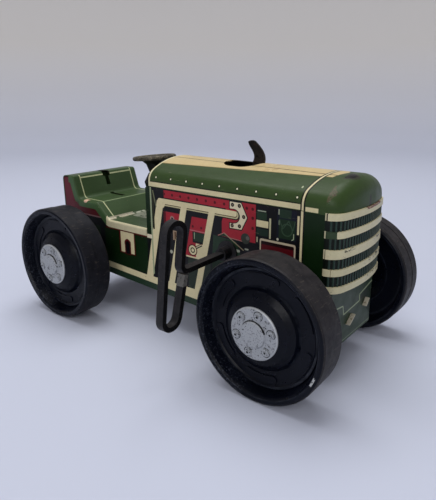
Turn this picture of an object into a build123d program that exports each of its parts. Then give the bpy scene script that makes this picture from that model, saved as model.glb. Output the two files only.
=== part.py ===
from build123d import *
import math
import os

# Clockwork tin tractor, the climbing kind whose rubber tracks have come off.
# Millimetres. +X is forward, +Y is the tractor's left, +Z is up. The origin lies on the floor,
# on the tractor's mid-plane, halfway between the two axles.

# ---------------------------------------------------------------- driving sizes
WHEELBASE = 141.0
WHEEL_R = 32.0
WHEEL_OUT = 53.0            # the outer lip of a wheel, from the mid-plane
WHEEL_IN = 36.4             # the inner lip of a wheel, from the mid-plane
AXLE_R = 2.0
BODY_HALF = 24.4            # outside of the tin sides, from the mid-plane
TIN = 0.5                   # thickness of the tinplate
FIT = 0.06                  # radial clearance of a running shaft

FRONT_X = WHEELBASE / 2
REAR_X = -WHEELBASE / 2
AXLE_Z = WHEEL_R
BODY_IN = BODY_HALF - TIN

# The body, seen from the side.
TAIL_X = -94.4
HOOD_REAR_X = -18.0
CHEEK_REAR_X = -20.8        # the hood's sides run a little further back than its top
HOOD_FRONT_X = 85.5
CROWN_Z = 92.8
CROWN_R = 45.0              # the hood's top is one shallow arc across
SHOULDER_R = 7.0
SHOULDER_Z = 79.2           # foot of the hood's painted moulding
SKIRT_FRONT_Z = 15.4        # the body's lower edge falls towards the front
SKIRT_REAR_Z = 24.4
SEAT_Z = 64.2
FOOTBOARD_Z = 55.4

# The corners of the seat and footboard pressing, seen from the side, back to front.
SEAT_FOLD = [
    (TAIL_X, 77.4),
    (-83.7, 78.0),
    (-79.2, SEAT_Z),
    (-62.5, SEAT_Z),
    (-52.5, FOOTBOARD_Z),
]
SEAT_FOLD_R = [2.6, 1.8, 3.0, 2.4, 2.0]
SEAT_FLANGE = 4.2
SEAT_GAP = 0.45             # between the pressing and the top edges of the sides

# The clockwork, seen from the side: where each arbor stands, as (x, z).
KEY_AT = (35.0, 53.0)
FRONT_AT = (FRONT_X, AXLE_Z)
PLATE_IN = 14.0             # inside of each motor plate, from the mid-plane
PLATE_T = 1.0
MODULE = 0.8
FINE_MODULE = 0.5
GREAT_TEETH = 50
IDLER_TEETH = 20
AXLE_TEETH = 16
PINION_TEETH = 10
SECOND_TEETH = 40
GEAR_T = 1.2

LEVER_AT = (32.0, 80.0)
BRAKE_Y = 5.0               # right side of the layer that the lever, star wheel and anchor share
BRAKE_T = 1.2

KEY_BUSH_R = 4.3
ARBOR_BOSS_R = 3.1
LEVER_HOLE = (27.0, 0.0)
LEVER_HOLE_SIZE = (19.5, 19.0)

os.makedirs("parts", exist_ok=True)


# ---------------------------------------------------------------- helpers
def save(node, shape):
    """Write one named sub-part."""
    shape.label = node
    export_step(shape, f"parts/{node}.step")


def side_plane(y):
    """A drawing plane seen from the tractor's right: its x is X, its y is Z, and it faces -Y."""
    return Plane(origin=(0, y, 0), x_dir=(1, 0, 0), z_dir=(0, -1, 0))


def side_plate(face, y_low, y_high):
    """Extrude a face drawn in X and Z from y_low to y_high."""
    return extrude(side_plane(y_high) * face, amount=y_high - y_low)


def rod(x, z, radius, y_low, y_high):
    """A round bar lying across the tractor."""
    return side_plate(Pos(x, z) * Circle(radius), y_low, y_high)


def spun(points, x, z, side):
    """Spin a closed (radius, distance) outline about the cross axis at x, z.

    distance is measured outwards from the mid-plane; side is -1 on the right and 1 on the left.
    """
    outline = Plane.XY * make_face(Polyline(*points, close=True))
    body = revolve(outline, Axis.Y)
    if side < 0:
        body = mirror(body, Plane.XZ)
    return Pos(x, 0, z) * body


def on_circle(centre, radius, degrees):
    """The point at an angle on a circle about centre, in X and Z."""
    a = math.radians(degrees)
    return (centre[0] + radius * math.cos(a), centre[1] + radius * math.sin(a))


def meet(a, b, reach_a, reach_b, side):
    """The point at reach_a from a and reach_b from b, to the left (1) or right (-1) of a to b."""
    dx = b[0] - a[0]
    dz = b[1] - a[1]
    span = math.hypot(dx, dz)
    along = (reach_a ** 2 - reach_b ** 2 + span ** 2) / (2 * span)
    off = side * math.sqrt(reach_a ** 2 - along ** 2)
    ux = dx / span
    uz = dz / span
    return (a[0] + along * ux - off * uz, a[1] + along * uz + off * ux)


def bearing(a, b):
    """The direction from a to b, in degrees in the X and Z plane."""
    return math.degrees(math.atan2(b[1] - a[1], b[0] - a[0]))


# ---------------------------------------------------------------- gears
PRESSURE = math.radians(20)
BACKLASH = 0.10             # taken off each tooth, at the pitch circle


def involute(angle):
    return math.tan(angle) - angle


def gear_face(teeth, module, phase=0.0):
    """An involute gear outline about the origin, with a tooth centred at phase degrees."""
    pitch_r = teeth * module / 2
    base_r = pitch_r * math.cos(PRESSURE)
    tip_r = pitch_r + 0.85 * module
    root_r = pitch_r - 1.25 * module
    half = math.pi / (2 * teeth) - BACKLASH / (2 * pitch_r)
    start_r = max(base_r, root_r)
    steps = 4
    flank = []
    for i in range(steps + 1):
        r = start_r + (tip_r - start_r) * i / steps
        bend = involute(PRESSURE) - involute(math.acos(min(1.0, base_r / r)))
        flank.append((r, half + bend))
    outline = []
    for tooth in range(teeth):
        centre = math.radians(phase) + 2 * math.pi * tooth / teeth
        gap = math.pi / teeth
        outline.append((root_r, centre - gap))
        if start_r > root_r:
            outline.append((root_r, centre - flank[0][1]))
        outline.extend((r, centre - a) for r, a in flank)
        outline.extend((r, centre + a) for r, a in reversed(flank))
        if start_r > root_r:
            outline.append((root_r, centre + flank[0][1]))
    points = [(r * math.cos(a), r * math.sin(a)) for r, a in outline]
    return make_face(Polyline(*points, close=True))


def mesh_phase(driver_phase, driver_teeth, teeth, direction):
    """The phase that puts a gap of this gear on a tooth of its driver.

    direction is the bearing from the driver's centre to this gear's centre.
    """
    into = (direction - driver_phase) * driver_teeth
    return direction + 180 + (180 + into) / teeth


def gear(at, teeth, module, y_low, y_high, bore_r, phase):
    """A gear wheel on its arbor, with a round bore."""
    blank = gear_face(teeth, module, phase) - Circle(bore_r)
    return side_plate(Pos(*at) * blank, y_low, y_high)


# ---------------------------------------------------------------- the tin body
def skirt_z(x):
    """Height of the body's lower edge at x."""
    share = (x - TAIL_X) / (HOOD_FRONT_X - TAIL_X)
    return SKIRT_REAR_Z + share * (SKIRT_FRONT_Z - SKIRT_REAR_Z)


def hood_section(inset, floor_z):
    """The hood's cross-section in Y and Z, shrunk by inset, down to floor_z."""
    half = BODY_HALF - inset
    arc_r = CROWN_R - inset
    centre_z = CROWN_Z - CROWN_R
    corner_z = centre_z + math.sqrt(arc_r ** 2 - half ** 2)
    edges = [
        Line((-half, corner_z), (-half, floor_z)),
        Line((-half, floor_z), (half, floor_z)),
        Line((half, floor_z), (half, corner_z)),
        ThreePointArc((half, corner_z), (0, centre_z + arc_r), (-half, corner_z)),
    ]
    face = make_face(edges)
    return fillet(face.vertices().sort_by(Axis.Y)[-2:], SHOULDER_R - inset)


def hood_bar(inset, x_low, x_high, floor_z):
    """The hood's section run along X."""
    plane = Plane(origin=(x_low, 0, 0), x_dir=(0, 1, 0), z_dir=(1, 0, 0))
    return extrude(plane * hood_section(inset, floor_z), amount=x_high - x_low)


def under_seat(inset):
    """The region below the seat's fold line, shrunk by inset, running well past both ends."""
    far_x = 60.0
    deep_z = -60.0
    line = FilletPolyline(
        (TAIL_X, deep_z), *SEAT_FOLD, (far_x, FOOTBOARD_Z), (far_x, deep_z),
        radius=SEAT_FOLD_R + [0.0],
    )
    face = make_face([*line.edges(), Line((far_x, deep_z), (TAIL_X, deep_z))])
    return offset(face, -inset) if inset else face


def above_skirt():
    """The region above the body's sloping lower edge."""
    top = CROWN_Z + 10
    return make_face(Polyline(
        (TAIL_X, skirt_z(TAIL_X)), (HOOD_FRONT_X, skirt_z(HOOD_FRONT_X)),
        (HOOD_FRONT_X, top), (TAIL_X, top), close=True,
    ))


def hood_and_sides():
    """One folded sheet: the hood's top and both full-length sides, open below and behind."""
    sheet = hood_bar(0, TAIL_X, HOOD_FRONT_X, 10) - hood_bar(TIN, TAIL_X - 1, HOOD_FRONT_X + 1, 5)
    hood = make_face(Polyline(
        (CHEEK_REAR_X, 0), (CHEEK_REAR_X, SHOULDER_Z - 1.2), (HOOD_REAR_X, SHOULDER_Z),
        (HOOD_REAR_X, CROWN_Z + 5), (HOOD_FRONT_X, CROWN_Z + 5), (HOOD_FRONT_X, 0), close=True,
    ))
    side_view = (under_seat(TIN + SEAT_GAP) + hood) & above_skirt()
    sheet &= side_plate(side_view, -BODY_HALF - 1, BODY_HALF + 1)
    for x in (FRONT_X, REAR_X):
        sheet -= rod(x, AXLE_Z, AXLE_R + FIT, -BODY_HALF - 1, BODY_HALF + 1)
    sheet -= rod(*KEY_AT, KEY_BUSH_R, -BODY_HALF - 1, 0)
    hole = Pos(*LEVER_HOLE) * RectangleRounded(*LEVER_HOLE_SIZE, 7.5)
    return sheet - extrude(Pos(0, 0, CROWN_Z - 12) * hole, amount=20)


def tail_plate():
    """The tin plate that closes the tail below the seat, its sides folded forward."""
    rear_x = TAIL_X + TIN + 0.05
    foot_z = skirt_z(TAIL_X) + 0.2
    block = Pos(rear_x + 2.5, 0, (foot_z + 48) / 2) * Box(5, 2 * BODY_IN, 48 - foot_z)
    hollow = Pos(rear_x + TIN + 5, 0, 36) * Box(10, 2 * (BODY_IN - TIN), 60)
    return block - hollow


def dash_plate():
    """The tin bulkhead that closes the back of the hood."""
    outline = hood_section(TIN + 0.05, 50.0)
    plane = Plane(origin=(HOOD_REAR_X + 0.4, 0, 0), x_dir=(0, 1, 0), z_dir=(1, 0, 0))
    return extrude(plane * outline, amount=TIN)


# ---------------------------------------------------------------- nose and apron
GRILLE_APEX = 94.4
GRILLE_CORNER_R = 7.0
GRILLE_Z = 44.4
NOSE_R = 7.0
BARS = [(79.4, 2.9), (71.8, 2.9), (63.9, 3.9), (55.3, 2.9), (47.5, 2.9)]  # top edge and height
BAR_PROUD = 0.7
BAR_START_X = 86.4
RIB_R = 0.5
RIB_PITCH = 2.0


def nose_plan(grow):
    """The nose seen from above: bluff sides, rounded corners and a gently bowed front."""
    half = BODY_HALF + grow
    corner_x = 90.5 + grow
    edges = [
        Line((80, half), (80, -half)),
        Line((80, -half), (corner_x, -half)),
        ThreePointArc((corner_x, -half), (GRILLE_APEX + grow, 0), (corner_x, half)),
        Line((corner_x, half), (80, half)),
    ]
    face = make_face(edges)
    corners = face.vertices().sort_by(Axis.X)[-2:]
    return fillet(corners, GRILLE_CORNER_R + grow)


def nose_block():
    """The solid nose, rounded over at the top."""
    block = extrude(nose_plan(0), amount=CROWN_Z + 5)
    block &= hood_bar(0, 70, GRILLE_APEX + 5, 5)
    brow = []
    for edge in block.edges():
        box = edge.bounding_box()
        if edge.geom_type != GeomType.LINE and box.min.Z > 72 and box.max.X > 84:
            brow.append(edge)
    return fillet(brow, NOSE_R)


def nose_hollow():
    """The space inside the nose: the same shape, shrunk towards the middle of its back."""
    back_x = 70.0
    shrink = (1 - TIN / (GRILLE_APEX - back_x), 1 - TIN / BODY_HALF, 1 - TIN / CROWN_Z)
    return Pos(back_x * (1 - shrink[0]), 0, 0) * scale(nose_block(), by=shrink)


def ahead_of(x, z_low):
    """Everything in front of x and above z_low, for trimming the nose."""
    return Pos(x + 20, 0, z_low + 50) * Box(40, 80, 100)


def nose_ribs():
    """Fine upright ribs all round the front, which show between the bars."""
    foot_z = BARS[-1][0] - 1
    height = BARS[0][0] - 1 - foot_z
    rim = nose_plan(-0.1).face().outer_wire()
    count = round(rim.length / RIB_PITCH)
    spots = [rim.position_at(i / count) for i in range(count)]
    up = (Align.CENTER, Align.CENTER, Align.MIN)
    return [
        Pos(spot.X, spot.Y, foot_z) * Cylinder(RIB_R, height, align=up)
        for spot in spots if spot.X > BAR_START_X + 1
    ]


def nose_grille():
    """The pressed nose: a domed cap over five raised bars, open at the back and below."""
    shell = nose_block() - nose_hollow() + nose_ribs()
    for top_z, height in BARS:
        ring = nose_plan(BAR_PROUD) - nose_plan(-TIN / 2)
        bar = extrude(Pos(0, 0, top_z - height) * ring, amount=height)
        shell += bar & ahead_of(BAR_START_X, 0)
    return shell & ahead_of(HOOD_FRONT_X, GRILLE_Z)


APRON_X = 89.6
APRON_HALF = 23.8
TABS = [(-2.9, 25.4, 31.0, 6.6), (14.3, 28.4, 45.0, 4.6)]  # Y and Z, twist and length of each
TAB_PROUD = 2.0


def apron_plan(inset):
    """The apron seen from above, as a filled block shrunk by inset."""
    depth = 9.0
    block = Pos(APRON_X - inset - depth / 2, 0) * Rectangle(depth, 2 * (APRON_HALF - inset))
    return fillet(block.vertices().sort_by(Axis.X)[-2:], 2.0 - inset)


def front_apron():
    """The flat plate below the grille, its edges folded back inside the body's sides."""
    foot_z = SKIRT_FRONT_Z - 0.2
    outer = extrude(Pos(0, 0, foot_z) * apron_plan(0), amount=GRILLE_Z - 0.1 - foot_z)
    inner = extrude(Pos(0, 0, foot_z - 1) * apron_plan(TIN), amount=GRILLE_Z)
    plate = outer - inner
    for y, z, twist, length in TABS:
        plate -= tab_frame(y, z, twist) * Box(3, length + 0.4, 2 * TIN)
    return plate


def tab_frame(y, z, twist):
    """A twisted tab's own frame: origin on the apron's face, Y along the tab."""
    return Pos(APRON_X, y, z) * Rot(twist, 0, 0)


def apron_bracket():
    """A tin strip behind the apron; its two tabs come through slots and are twisted."""
    drop = 2.2
    strip = Pos(APRON_X - drop, 0, 27) * Box(TIN, 2 * (APRON_HALF - TIN), 11)
    for y, z, twist, length in TABS:
        tab = Box(drop + TAB_PROUD, length, TIN)
        strip += tab_frame(y, z, twist) * Pos((TAB_PROUD - drop) / 2, 0, 0) * tab
    return strip


# ---------------------------------------------------------------- seat and steering
FOLD_R = 1.3                # outside radius of the pressing's folded edges
INNER_FOLD_R = 0.4
FLANGE_REAR_X = -88.2       # the side flanges start here and run forward
TAIL_SKIRT_Z = 44.0
SLOT_HALF = 1.4             # the driver figure's tab slots
PAN_SLOT_X = -73.0          # the middle of the one in the pan
PAN_SLOT_LENGTH = 12.0


def seat_block(inset):
    """The region under the seat made solid, with its long edges rounded over."""
    half = BODY_HALF + TIN - inset
    block = side_plate(under_seat(inset), -half, half)
    rims = []
    for edge in block.edges():
        spot = edge.center()
        if abs(abs(spot.Y) - half) < 0.01 and spot.Z > 0 and spot.X < 55:
            rims.append(edge)
    return fillet(rims, FOLD_R if inset == 0 else INNER_FOLD_R)


def seat_pressing():
    """One pressing, back to front: rear skirt, seat back, seat pan, riser and footboard."""
    wide = BODY_HALF + 2
    front_x = CHEEK_REAR_X - 0.1
    flanged = seat_block(0) - seat_block(TIN)
    rim = under_seat(0) - under_seat(SEAT_FLANGE)
    front = Pos((FLANGE_REAR_X + front_x) / 2, 60) * Rectangle(front_x - FLANGE_REAR_X, 80)
    flanged &= side_plate(rim & front, -wide, wide)
    for side in (-1, 1):
        notch = make_face(Polyline((-79.6, 63.2), (-87.0, 60.5), (-79.0, 56.0), close=True))
        y = side * (BODY_HALF + 0.6)
        flanged -= side_plate(notch, y - 0.59, y + 0.59)
    strip = under_seat(0) - under_seat(TIN)
    rear = Pos(FLANGE_REAR_X - 10, TAIL_SKIRT_Z + 20) * Rectangle(20, 40)
    sheet = flanged + side_plate(strip & rear, -BODY_HALF, BODY_HALF)
    sheet -= Pos(-85, 0, 75.0) * Box(12, 2 * SLOT_HALF, 11)
    sheet -= Pos(-86.5, 0, 77.0) * Box(9, 4 * SLOT_HALF, 4)
    return sheet - Pos(PAN_SLOT_X, 0, SEAT_Z) * Box(PAN_SLOT_LENGTH, 2 * SLOT_HALF, 4)


STEER_AT = (-38.0, 0.0, 90.2)
STEER_TILT = 5.5            # the wheel leans back towards the driver, degrees
STEER_R = 12.6
STEER_RIM = 1.15
WAIST_R = 3.8
WAIST_DROP = 8.2            # from the rim's middle down to the end of the hub
HUB_T = 1.0
STEER_PIN_R = 1.2


def steering_frame():
    """The steering wheel's own frame: origin at the rim's centre, leaning back."""
    return Pos(*STEER_AT) * Rot(0, -STEER_TILT, 0)


def steering_wheel():
    """A spun tin wheel: rolled rim, shallow dish, and a funnel that narrows to the hub."""
    ring_r = STEER_R - STEER_RIM
    outline = [
        (ring_r, 0.3), (8.0, -1.0), (5.2, -3.6), (WAIST_R, -WAIST_DROP),
        (STEER_PIN_R + FIT, -WAIST_DROP), (STEER_PIN_R + FIT, HUB_T - WAIST_DROP),
        (WAIST_R - 0.9, HUB_T - WAIST_DROP), (4.4, -3.2), (7.6, -0.4), (ring_r, 0.9),
    ]
    dish = revolve(Plane.XZ * make_face(Polyline(*outline, close=True)), Axis.Z)
    return steering_frame() * (dish + Torus(ring_r, STEER_RIM))


def steering_pedestal():
    """The post under the wheel, with the headed pin that the wheel turns on."""
    top_z = STEER_AT[2] - WAIST_DROP - 0.9
    outline = [
        (0, FOOTBOARD_Z), (5.5, FOOTBOARD_Z), (5.0, FOOTBOARD_Z + 1), (3.0, FOOTBOARD_Z + 2.5),
        (3.0, 69.0), (5.4, 72.0), (6.4, 76.0), (5.4, 78.0), (WAIST_R, top_z), (0, top_z),
    ]
    post = revolve(Plane.XZ * make_face(Polyline(*outline, close=True)), Axis.Z)
    pin_top = HUB_T - WAIST_DROP + 0.8
    up = (Align.CENTER, Align.CENTER, Align.MIN)
    pin = Pos(0, 0, pin_top - 4.5) * Cylinder(STEER_PIN_R, 4.5, align=up)
    pin += Pos(0, 0, pin_top - 0.6) * Cylinder(STEER_PIN_R + 0.8, 0.6, align=up)
    return Pos(STEER_AT[0], 0, 0) * post + steering_frame() * pin


# ---------------------------------------------------------------- wheels and axles
HUB_R = 11.6
DOME_R = 19.0
WEB_R = 27.6
RIDGE_R = 26.2              # a low ring moulded round the web
PARTING = 45.4              # the mould's parting line round the tread, from the mid-plane
HUB_BOSS_R = 7.8
HUB_FACE = 52.4             # where the silver cap sits, from the mid-plane
WHEEL_NUTS = 6


def wheel(x, side):
    """A black moulded wheel: fat rounded tyre, sunk web and a domed hub, hollow inside."""
    lip = WHEEL_OUT
    web_y = lip - 6.0
    tread_r = WHEEL_R - 0.2
    outline = [
        (AXLE_R, HUB_FACE), (HUB_R - 0.2, HUB_FACE), (15.0, lip - 2.2), (17.6, lip - 4.0),
        (DOME_R, web_y), (RIDGE_R - 1.2, web_y), (RIDGE_R - 0.5, web_y + 0.6),
        (RIDGE_R + 0.5, web_y + 0.6), (RIDGE_R + 0.9, web_y), (WEB_R, lip - 4.4),
        (28.6, lip - 1.2), (29.4, lip - 0.2), (30.8, lip), (31.6, lip - 0.4),
        (WHEEL_R, lip - 1.2), (WHEEL_R, PARTING), (tread_r, PARTING - 0.3),
        (tread_r, WHEEL_IN + 1.4), (31.2, WHEEL_IN + 0.4), (30.4, WHEEL_IN), (28.8, WHEEL_IN + 0.5),
        (WEB_R - 0.4, lip - 9.0), (DOME_R - 1.5, lip - 9.0), (HUB_BOSS_R + 2, lip - 4.6),
        (HUB_BOSS_R, lip - 6.0), (HUB_BOSS_R, BODY_HALF + 0.7), (AXLE_R, BODY_HALF + 0.7),
    ]
    body = spun(outline, x, AXLE_Z, side)
    web_face = side * web_y
    for i in range(WHEEL_NUTS):
        pad = SlotArc(CenterArc((0, 0), 22.8, 60 * i + 14, 32), 3.6)
        y_low, y_high = sorted((web_face - side * 0.3, web_face + side * 0.45))
        body += side_plate(Pos(x, AXLE_Z) * pad, y_low, y_high)
    return body


def hub_cap(x, side):
    """A silvered tin cap: shallow dish, central boss and six pressed nuts."""
    face = HUB_FACE + 1.0
    outline = [
        (0, HUB_FACE + 0.02), (HUB_R, HUB_FACE + 0.02), (HUB_R, HUB_FACE + 0.5),
        (HUB_R - 0.6, face - 0.1), (6.2, face), (5.7, face + 0.8), (5.2, face + 1.0),
        (0, face + 1.15),
    ]
    cap = spun(outline, x, AXLE_Z, side)
    for i in range(WHEEL_NUTS):
        spot = on_circle((x, AXLE_Z), 8.8, 60 * i + 15)
        nut_low, nut_high = sorted((side * (face - 0.3), side * (face + 0.45)))
        cap += side_plate(Pos(*spot) * RegularPolygon(1.75, 6), nut_low, nut_high)
        stud_low, stud_high = sorted((side * (face - 0.3), side * (face + 0.85)))
        cap += side_plate(Pos(*spot) * Circle(0.75), stud_low, stud_high)
    return cap


# ---------------------------------------------------------------- key
KEY_WIDE = 4.0
KEY_THICK = 2.3
SOCKET_Y = -25.6
KEY_BENDS = [               # each bend of the strip after its shank: Y, Z and radius
    (-32.0, KEY_AT[1], 5.0),
    (-58.4, 52.4, 3.0),
    (-55.4, 74.9, 4.6),
    (-65.4, 74.9, 4.8),
    (-70.9, 29.0, 4.2),
    (-61.6, 29.0, 5.0),
]
KEY_END = (-56.0, 51.0)     # the strip's free end, close below the shank


def winding_key():
    """A flat strip: a shank along Y, then one bent loop that closes just below the shank."""
    x, z = KEY_AT
    corners = [(x, y, corner_z) for y, corner_z, _ in KEY_BENDS]
    radii = [radius for _, _, radius in KEY_BENDS]
    path = FilletPolyline((x, SOCKET_Y, z), *corners, (x, *KEY_END), radius=radii)
    start = Plane(origin=(x, SOCKET_Y, z), x_dir=(1, 0, 0), z_dir=(0, -1, 0))
    return sweep(start * Rectangle(KEY_WIDE, KEY_THICK), path=path)


def key_bush():
    """The plain washer bush in the hood's right side that the arbor turns in."""
    x, z = KEY_AT
    bush = rod(x, z, KEY_BUSH_R + 1.3, -BODY_HALF - 0.8, -BODY_HALF)
    bush += rod(x, z, KEY_BUSH_R, -BODY_HALF, -BODY_IN + 1.0)
    return bush - rod(x, z, ARBOR_BOSS_R + FIT, -BODY_HALF - 2, 0)


# ---------------------------------------------------------------- clockwork
GEAR_Y = -0.9
RATCHET_Y = -2.5
SPRING_Y = (-13.0, -3.4)
SECOND_Y = 9.0
PLATE_OUT = PLATE_IN + PLATE_T
IDLER_AT = meet(
    KEY_AT, FRONT_AT,
    MODULE * (GREAT_TEETH + IDLER_TEETH) / 2, MODULE * (IDLER_TEETH + AXLE_TEETH) / 2, 1,
)
SECOND_AT = on_circle(KEY_AT, MODULE * (GREAT_TEETH + PINION_TEETH) / 2, 150)
STAR_AT = on_circle(SECOND_AT, FINE_MODULE * (SECOND_TEETH + PINION_TEETH) / 2, 100)
STAR_R = 6.0
ANCHOR_AT = (STAR_AT[0] - 11.5, STAR_AT[1])
SPRING_R0 = ARBOR_BOSS_R + 0.7
SPRING_GROW = 0.78          # each half-turn's radius is this much more than the last one's
SPRING_HALVES = 21
SPRING_HOOK_R = 2.4
SPRING_END_X = KEY_AT[0] - SPRING_R0 - (SPRING_HALVES - 1) * SPRING_GROW
PILLARS = [(SPRING_END_X - SPRING_HOOK_R, 36.0), (0.5, 66.0), (52.0, 76.0), (54.0, 26.5)]
PILLAR_R = 2.0
RATCHET_START = 88.0        # the bearing of one steep tooth face
CLICK_AT = on_circle(KEY_AT, 11.6, RATCHET_START + 33)
IDLER_PHASE = mesh_phase(0, GREAT_TEETH, IDLER_TEETH, bearing(KEY_AT, IDLER_AT))
AXLE_PHASE = mesh_phase(IDLER_PHASE, IDLER_TEETH, AXLE_TEETH, bearing(IDLER_AT, FRONT_AT))
SECOND_PHASE = mesh_phase(0, GREAT_TEETH, PINION_TEETH, bearing(KEY_AT, SECOND_AT))
STAR_PHASE = mesh_phase(0, SECOND_TEETH, PINION_TEETH, bearing(SECOND_AT, STAR_AT))


def motor_plate(side):
    """One steel side plate of the motor, drilled for every arbor, with lugs to the body."""
    corners = [
        (-6, 60), (6, 30), (50, 21), (79, 22), (79, 42), (62, 62), (60, 82), (40, 86.5), (-6, 86.5),
    ]
    outline = make_face(Polyline(*corners, close=True))
    outline = fillet(outline.vertices(), 3.0)
    y_low, y_high = sorted((side * PLATE_IN, side * PLATE_OUT))
    plate = side_plate(outline, y_low, y_high)
    arbor_r = ARBOR_BOSS_R if side < 0 else AXLE_R
    bores = [(KEY_AT, arbor_r), (FRONT_AT, AXLE_R), (IDLER_AT, 1.5), (SECOND_AT, 1.2), (STAR_AT, 1.0)]
    for spot, radius in bores:
        plate -= rod(*spot, radius + FIT, -BODY_IN, BODY_IN)
    for x, z in ((0, 63.0), (66, 50.0)):
        y = side * (PLATE_OUT + BODY_IN) / 2
        plate += Pos(x, y, z) * Box(7, BODY_IN - PLATE_OUT, PLATE_T)
    return plate


def motor_pillars():
    """Four round pillars that hold the motor's plates apart."""
    posts = [rod(x, z, PILLAR_R, -PLATE_IN, PLATE_IN) for x, z in PILLARS]
    return Compound(children=posts)


def strip_along(edges, y_low, y_high, thickness):
    """A flat strip on edge, following a path drawn in X and Z."""
    path = Wire([side_plane(0) * edge for edge in edges])
    start = path.position_at(0)
    along = path.tangent_at(0)
    middle = (y_low + y_high) / 2
    shift = Pos(0, middle, 0)
    frame = Plane(origin=shift * Vertex(start.X, start.Y, start.Z), x_dir=(0, 1, 0), z_dir=along)
    return sweep(frame * Rectangle(y_high - y_low, thickness), path=shift * path)


def mainspring():
    """The wound strip, a spiral of half-circles, with its outer end hooked round a pillar."""
    x, z = KEY_AT
    radius = SPRING_R0
    here = x + radius
    facing = -1
    edges = []
    for _ in range(SPRING_HALVES):
        far = here + facing * 2 * radius
        middle = (here + far) / 2
        edges.append(ThreePointArc((here, z), (middle, z - facing * radius), (far, z)))
        here = far
        facing = -facing
        radius += SPRING_GROW
    post_x, post_z = PILLARS[0]
    edges.append(Line((here, z), (here, post_z)))
    edges.append(ThreePointArc(
        (here, post_z), (post_x, post_z - SPRING_HOOK_R), (post_x - SPRING_HOOK_R, post_z),
    ))
    return strip_along(edges, *SPRING_Y, 0.45)


def ratchet_wheel():
    """Twelve saw teeth, pressed on the winding arbor."""
    teeth = 12
    points = []
    for i in range(teeth):
        turn = RATCHET_START + 360 / teeth * i
        points.append(on_circle((0, 0), 7.0, turn))
        points.append(on_circle((0, 0), 6.0, turn + 1))
    face = make_face(Polyline(*points, close=True)) - Circle(AXLE_R)
    return side_plate(Pos(*KEY_AT) * face, RATCHET_Y, RATCHET_Y + 1.2)


def click():
    """The pawl that drops behind a saw tooth, pivoted on the great wheel."""
    pivot = CLICK_AT
    heel = on_circle(KEY_AT, 8.2, RATCHET_START + 2.5)
    tip = on_circle(KEY_AT, 6.25, RATCHET_START + 3.0)
    under = on_circle(KEY_AT, 7.6, RATCHET_START + 18)
    near = (pivot[0] + 1.2, pivot[1] - 0.6)
    far = (pivot[0] + 0.7, pivot[1] + 1.1)
    blade = make_face(Polyline(heel, tip, under, near, far, close=True))
    eye = Pos(*pivot) * Circle(1.8)
    return side_plate(blade + eye - Pos(*pivot) * Circle(0.8 + FIT), RATCHET_Y, RATCHET_Y + 1.2)


def click_pin():
    """The rivet that the click turns on."""
    return rod(*CLICK_AT, 0.8, RATCHET_Y - 0.2, GEAR_Y)


def winding_arbor():
    """The spring's arbor: a thick end with a socket for the key, and a thin end to the left."""
    x, z = KEY_AT
    arbor = rod(x, z, ARBOR_BOSS_R, -30.0, -PLATE_IN + 0.5)
    arbor += rod(x, z, AXLE_R, -PLATE_IN + 0.5, PLATE_OUT + 0.8)
    return arbor - Pos(x, -30 + (30 + SOCKET_Y) / 2, z) * Box(KEY_WIDE, 30 + SOCKET_Y, KEY_THICK)


def great_wheel():
    """The large gear that the click drives."""
    wheel_gear = gear(KEY_AT, GREAT_TEETH, MODULE, GEAR_Y, GEAR_Y + GEAR_T, AXLE_R + FIT, 0)
    for i in range(5):
        spot = on_circle(KEY_AT, 12.5, 72 * i + 12)
        wheel_gear -= rod(*spot, 3.4, GEAR_Y - 1, GEAR_Y + 2)
    return wheel_gear


def arbor_with_pinion(at, radius, y_low, y_high, phase, module):
    """A thin arbor with a pinion cut on it, running in both motor plates."""
    shaft = rod(*at, radius, -PLATE_OUT - 0.6, PLATE_OUT + 0.6)
    return shaft + gear(at, PINION_TEETH, module, y_low, y_high, radius * 0.5, phase)


def star_wheel():
    """The governor's wheel of eight pointed teeth."""
    points = []
    for i in range(8):
        points.append(on_circle((0, 0), STAR_R, 45 * i))
        points.append(on_circle((0, 0), STAR_R * 0.62, 45 * i + 24))
    face = make_face(Polyline(*points, close=True)) - Circle(1.0)
    return side_plate(Pos(*STAR_AT) * face, BRAKE_Y, BRAKE_Y + BRAKE_T)


def rocking_anchor():
    """The governor's weighted anchor, with one pallet above the star wheel and one below."""
    x, z = ANCHOR_AT
    reach = 0.45            # how far the pallets stand off the star wheel's tips
    body = Pos(x, z) * Circle(2.6)
    for up in (-1, 1):
        tip = on_circle(STAR_AT, STAR_R + reach, 180 - up * 40)
        back = (tip[0] - 1.6, tip[1] + up * 0.9)
        arm = make_face(Polyline((x + 1, z), (x - 0.5, z + up * 2.2), back, tip, close=True))
        body = body + arm
    body -= Pos(x, z) * Circle(1.0 + FIT)
    return side_plate(body, BRAKE_Y, BRAKE_Y + BRAKE_T)


def stub_pin(at, radius):
    """A headed pin riveted to the left motor plate, reaching across to the brake's layer."""
    head = rod(*at, radius + 0.9, BRAKE_Y - 0.9, BRAKE_Y - 0.2)
    return head + rod(*at, radius, BRAKE_Y - 0.2, PLATE_IN)


LEVER_PIN_R = 1.3


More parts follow.
